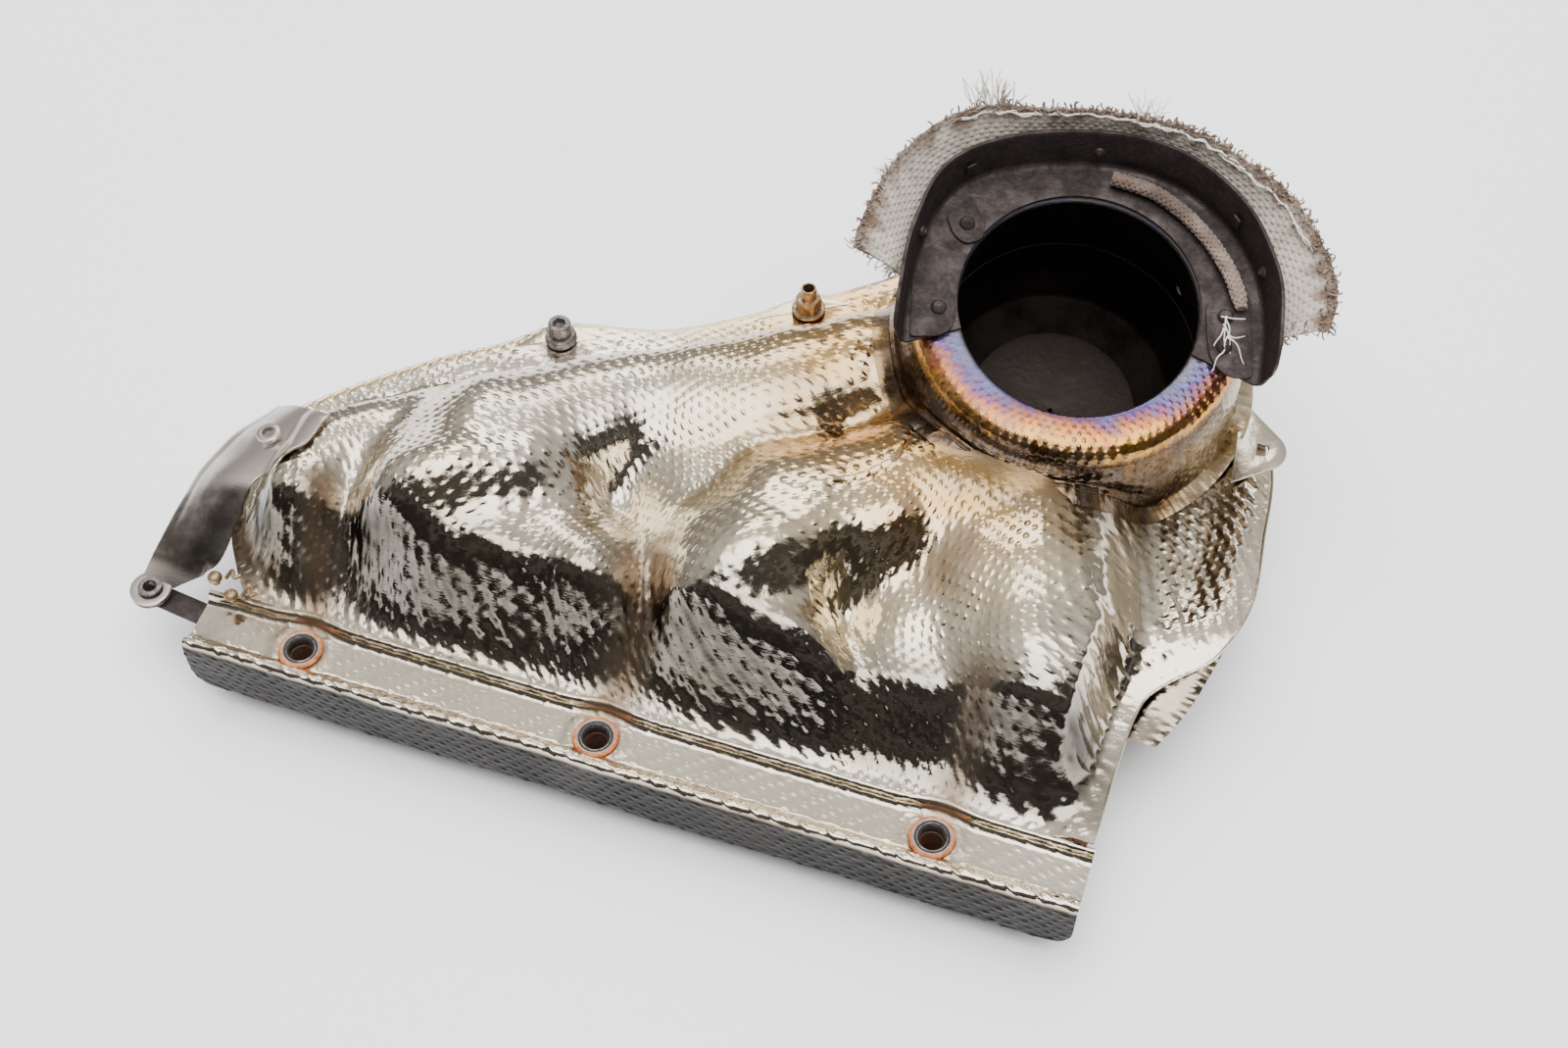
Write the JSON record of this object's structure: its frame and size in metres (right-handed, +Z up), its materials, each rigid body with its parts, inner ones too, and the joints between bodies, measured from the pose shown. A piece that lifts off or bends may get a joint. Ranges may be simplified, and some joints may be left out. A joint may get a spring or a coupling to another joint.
{
  "type": "exhaust manifold",
  "caption": "Insulated exhaust manifold: tubular runners on a flat head flange, inside an embossed steel heat shield with a leaning outlet tower.",
  "frame": {"origin": "centre of the head flange's sealing face", "axes": "+X along the head flange towards the outlet tower, +Y from the bolt rail towards the rear flange, +Z up out of the cylinder head"},
  "size_m": [0.4453, 0.3151, 0.1688],
  "materials": {
    "embossed_foil": "embossed bright stainless foil with straw tint",
    "heat_tinted_foil": "stainless foil tinted straw, copper, purple and blue by heat",
    "dark_foil": "dulled stainless foil",
    "satin_sheet": "satin stainless sheet",
    "bare_manifold_steel": "oxidised brown-grey steel",
    "sooted_steel": "soot-black inner wall",
    "burnt_bracket_steel": "matte burnt brown-grey steel",
    "rusted_grommet": "rusted steel ring",
    "zinc_hardware": "grey plated steel",
    "bronze_hardware": "straw-tinted plated steel",
    "woven_cloth": "coarse woven glass cloth, singed brown at the edge",
    "woven_rope": "braided glass rope, browned"
  },
  "bodies": {
    "root": {"port_tower": "heat_tinted_foil", "collector_upper": "sooted_steel", "collector_lower": "sooted_steel", "port_bracket": "burnt_bracket_steel", "tab_left": "burnt_bracket_steel", "tab_rear_left": "burnt_bracket_steel", "tab_right": "burnt_bracket_steel", "tab_rivet_1": "burnt_bracket_steel", "tab_rivet_2": "burnt_bracket_steel", "tab_rivet_3": "burnt_bracket_steel", "tab_rivet_4": "burnt_bracket_steel", "wall_rivet_1": "burnt_bracket_steel", "wall_rivet_2": "burnt_bracket_steel", "wall_rivet_3": "burnt_bracket_steel", "wall_clip_1": "burnt_bracket_steel", "wall_clip_2": "burnt_bracket_steel", "rope_seal": "woven_rope", "cloth_collar": "woven_cloth", "head_flange": "bare_manifold_steel", "rail_stand_off_1": "bare_manifold_steel", "rail_grommet_1": "rusted_grommet", "rail_sleeve_1": "zinc_hardware", "rail_stand_off_2": "bare_manifold_steel", "rail_grommet_2": "rusted_grommet", "rail_sleeve_2": "zinc_hardware", "rail_stand_off_3": "bare_manifold_steel", "rail_grommet_3": "rusted_grommet", "rail_sleeve_3": "zinc_hardware", "upper_shield": "embossed_foil", "runner_1": "bare_manifold_steel", "runner_2": "bare_manifold_steel", "runner_3": "bare_manifold_steel", "runner_4": "bare_manifold_steel", "lower_shield": "dark_foil", "end_cap": "satin_sheet", "end_lug_grommet": "zinc_hardware", "end_lug_washer": "zinc_hardware", "end_plate": "burnt_bracket_steel", "end_screw_1": "bronze_hardware", "end_clip_1": "bronze_hardware", "end_screw_2": "bronze_hardware", "end_clip_2": "bronze_hardware", "end_cap_rivet": "satin_sheet", "cap_screw_bush": "zinc_hardware", "cap_screw_washer": "zinc_hardware", "cap_screw": "zinc_hardware", "collar_nut_washer": "bronze_hardware", "collar_nut": "bronze_hardware"}
  },
  "joints": []
}
